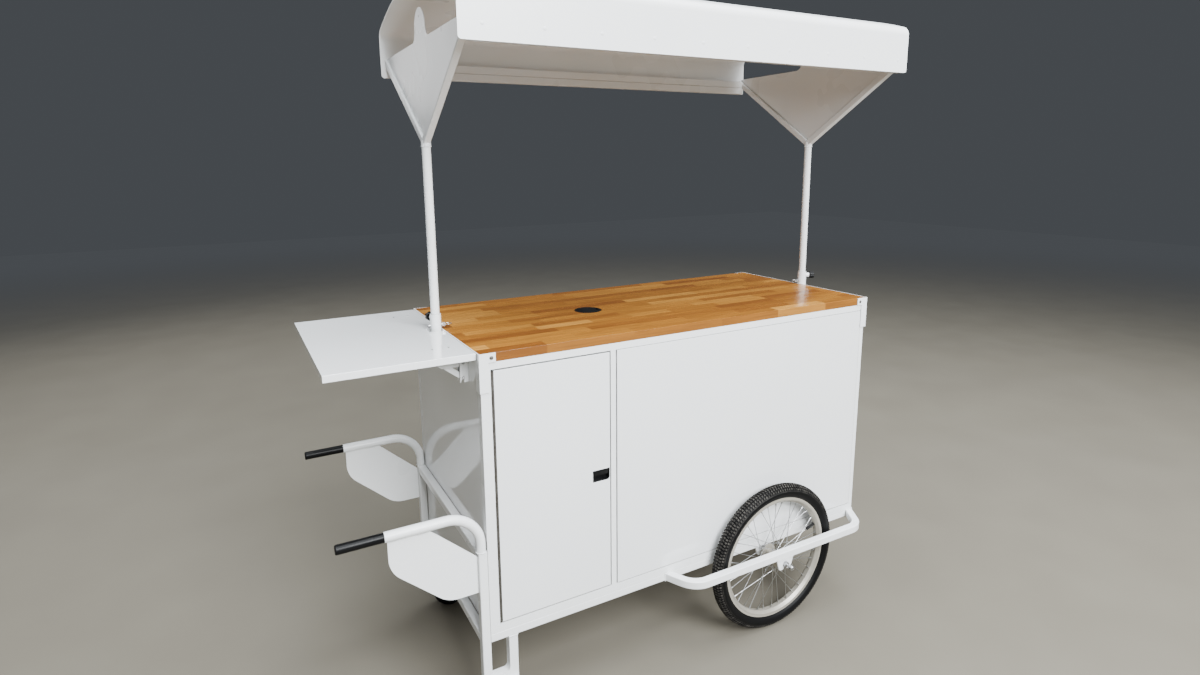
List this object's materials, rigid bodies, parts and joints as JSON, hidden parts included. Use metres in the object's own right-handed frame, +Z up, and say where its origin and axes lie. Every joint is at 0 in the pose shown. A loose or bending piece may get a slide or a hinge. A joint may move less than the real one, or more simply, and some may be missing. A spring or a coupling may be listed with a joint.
{
  "type": "vending push cart",
  "caption": "Wheeled vending push cart: white cabinet with hinged door, wood worktop, fold-down side shelf, bent handles, swivel castors and a lift-off barrel canopy on posts",
  "frame": {"origin": "on the floor, below the middle of the whole cart's box", "axes": "+X from the handle end to the wheel end, +Y from the door side to the back, +Z up"},
  "size_m": [1.8694, 0.906, 2.0618],
  "materials": {
    "white_frame": "satin white powder coat",
    "white_board": "gloss white lacquered board",
    "worktop_wood": "oiled stave wood, semi-gloss",
    "grip_rubber": "smooth, glossy",
    "wheel_tyre": "matte black",
    "tube_rubber": "matte black",
    "castor_rubber": "matte black",
    "black_plastic": "fine grained black",
    "zinc": "bright zinc",
    "alloy": "satin"
  },
  "bodies": {
    "cart": {"chassis_side_rails": "white_frame", "chassis_cross_rails": "white_frame", "handle_uprights": "white_frame", "leg_frames": "white_frame", "handle_cross_bar": "white_frame", "push_handles": "white_frame", "handle_plates": "white_frame", "handle_grips": "grip_rubber", "wheel_guard_front": "white_frame", "wheel_guard_back": "white_frame", "axle_dropouts": "white_frame", "wheel_axles": "zinc", "castor_top_plates": "zinc", "cabinet_stiles": "white_frame", "cabinet_rails": "white_frame", "front_panel": "white_board", "back_panel": "white_board", "end_panels": "white_board", "cabinet_floor": "white_board", "inner_shelf": "white_board", "worktop": "worktop_wood", "cable_grommet": "black_plastic", "worktop_end_caps": "white_frame", "door_catch": "zinc", "hinge_frame_leaf": "zinc", "hinge_pin": "zinc", "shelf_bracket_channels": "white_frame", "shelf_pivot_pins": "zinc", "post_sockets": "white_frame"},
    "grommet_lid": {"grommet_cap": "black_plastic"},
    "door": {"door_panel": "white_board", "latch_cup": "black_plastic", "hinge_door_leaf": "zinc"},
    "latch": {"latch_paddle": "black_plastic"},
    "shelf": {"side_shelf": "white_board", "shelf_bracket_arms": "white_frame"},
    "struts": {"shelf_struts": "white_frame"},
    "canopy": {"canopy_sheet": "white_frame", "canopy_hem_rails": "white_frame", "canopy_yokes": "white_frame", "canopy_gussets": "white_frame", "canopy_posts": "white_frame"},
    "pin_handle": {"lock_pin_handle": "zinc"},
    "pin_far": {"lock_pin_far": "zinc"},
    "knob_handle": {"clamp_knob_handle": "black_plastic"},
    "knob_far": {"clamp_knob_far": "black_plastic"},
    "wheel_front": {"wheel_tyre_front": "wheel_tyre", "wheel_inner_tube_front": "tube_rubber", "wheel_rim_front": "alloy", "wheel_spokes_front": "zinc", "wheel_hub_front": "alloy"},
    "castor_front": {"castor_fork_front": "zinc"},
    "castor_roller_front": {"castor_wheel_front": "castor_rubber"},
    "wheel_back": {"wheel_tyre_back": "wheel_tyre", "wheel_inner_tube_back": "tube_rubber", "wheel_rim_back": "alloy", "wheel_spokes_back": "zinc", "wheel_hub_back": "alloy"},
    "castor_back": {"castor_fork_back": "zinc"},
    "castor_roller_back": {"castor_wheel_back": "castor_rubber"}
  },
  "joints": [
    {"name": "door_swing", "type": "hinge", "parent": "cart", "child": "door", "pos_m": [-0.52166, -0.32, 0.6915], "axis": [0, 0, -1], "range_deg": [0, 110]},
    {"name": "latch_turn", "type": "hinge", "parent": "door", "child": "latch", "pos_m": [-0.20066, -0.3175, 0.701], "axis": [-1, 0, 0], "range_deg": [0, 35], "stiffness_Nm_per_rad": 0.1, "springref_deg": -5.73},
    {"name": "shelf_fold", "type": "hinge", "parent": "cart", "child": "shelf", "pos_m": [-0.56766, 0, 1.059], "axis": [0, -1, 0], "range_deg": [0, 90]},
    {"name": "strut_fold", "type": "hinge", "parent": "shelf", "child": "struts", "pos_m": [-0.62466, 0, 1.061], "axis": [0, 1, 0], "range_deg": [0, 144]},
    {"name": "canopy_lift", "type": "slide", "parent": "cart", "child": "canopy", "axis": [0, 0, 1], "range_m": [0, 0.089]},
    {"name": "pin_pull_handle", "type": "slide", "parent": "cart", "child": "pin_handle", "axis": [1, 0, 0], "range_m": [0, 0.06]},
    {"name": "pin_pull_far", "type": "slide", "parent": "cart", "child": "pin_far", "axis": [-1, 0, 0], "range_m": [0, 0.06]},
    {"name": "knob_turn_handle", "type": "hinge", "parent": "cart", "child": "knob_handle", "pos_m": [-0.57266, 0, 1.136], "axis": [-0.1736, 0.9848, 0], "range_deg": [0, 360]},
    {"name": "knob_turn_far", "type": "hinge", "parent": "cart", "child": "knob_far", "pos_m": [0.89034, 0, 1.136], "axis": [0.866, -0.5, 0], "range_deg": [0, 360]},
    {"name": "grommet_lid_lift", "type": "slide", "parent": "cart", "child": "grommet_lid", "axis": [0, 0, 1], "range_m": [0, 0.03]},
    {"name": "wheel_spin_front", "type": "hinge", "parent": "cart", "child": "wheel_front", "pos_m": [0.44634, -0.362, 0.257], "axis": [0, 1, 0], "continuous": true},
    {"name": "castor_swivel_front", "type": "hinge", "parent": "cart", "child": "castor_front", "pos_m": [-0.52716, -0.3095, 0.138], "axis": [0, 0, 1], "continuous": true},
    {"name": "castor_roll_front", "type": "hinge", "parent": "castor_front", "child": "castor_roller_front", "pos_m": [-0.50118, -0.3245, 0.05], "axis": [0.5, 0.866, 0], "continuous": true},
    {"name": "wheel_spin_back", "type": "hinge", "parent": "cart", "child": "wheel_back", "pos_m": [0.44634, 0.362, 0.257], "axis": [0, 1, 0], "continuous": true},
    {"name": "castor_swivel_back", "type": "hinge", "parent": "cart", "child": "castor_back", "pos_m": [-0.52716, 0.3095, 0.138], "axis": [0, 0, 1], "continuous": true},
    {"name": "castor_roll_back", "type": "hinge", "parent": "castor_back", "child": "castor_roller_back", "pos_m": [-0.50118, 0.2945, 0.05], "axis": [0.5, 0.866, 0], "continuous": true}
  ],
  "couplings": [
    {"joint": "strut_fold", "follows": "shelf_fold", "ratio": 1.5822}
  ]
}
